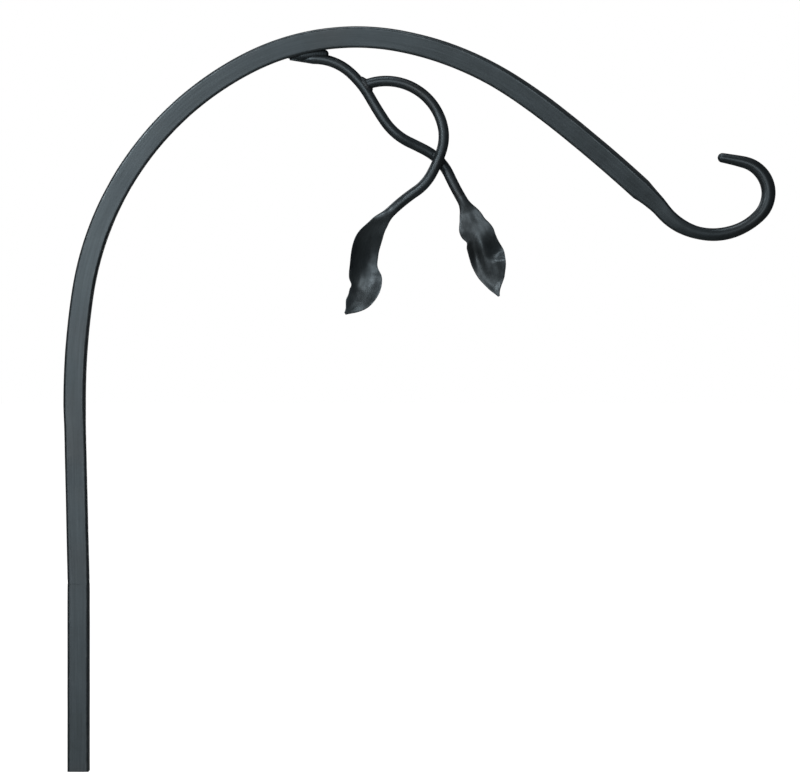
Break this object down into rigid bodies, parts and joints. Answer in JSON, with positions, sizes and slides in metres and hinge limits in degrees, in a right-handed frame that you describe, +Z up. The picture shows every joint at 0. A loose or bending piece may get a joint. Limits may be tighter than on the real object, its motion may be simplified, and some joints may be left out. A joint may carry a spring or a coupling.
{
  "type": "shepherd's crook hanging hook",
  "caption": "Square forged bar rising to a wide arc that ends in a round open hook, with a forked leafy vine welded under the arc.",
  "frame": {"origin": "centre of the flat cut foot of the pole", "axes": "+Z up the pole, +X from the pole towards the hook, -Y towards the side where the branch crosses in front"},
  "size_m": [0.4269, 0.0169, 0.4472],
  "materials": {
    "forged_bar": "satin slate paint on forged square bar",
    "vine_rod": "satin slate paint on round rod",
    "leaf_blade": "satin slate paint on beaten leaf",
    "weld_bead": "satin slate paint on rippled weld",
    "bright_pin": "drawn steel, bare and lightly greased"
  },
  "bodies": {
    "pole": {"pole_bar": "forged_bar"},
    "pin": {"joint_pin": "bright_pin"},
    "crook": {"crook_bar": "forged_bar", "vine_stem": "vine_rod", "vine_branch": "vine_rod", "leaf_left": "leaf_blade", "leaf_right": "leaf_blade", "arc_weld": "weld_bead", "fork_weld": "weld_bead", "crossing_weld": "weld_bead"}
  },
  "joints": [
    {"name": "crook_swivel", "type": "hinge", "parent": "pole", "child": "pin", "pos_m": [0, 0, 0.1125], "axis": [0, 0, 1], "continuous": true},
    {"name": "crook_lift", "type": "slide", "parent": "pin", "child": "crook", "axis": [0, 0, 1], "range_m": [0, 0.05]}
  ]
}
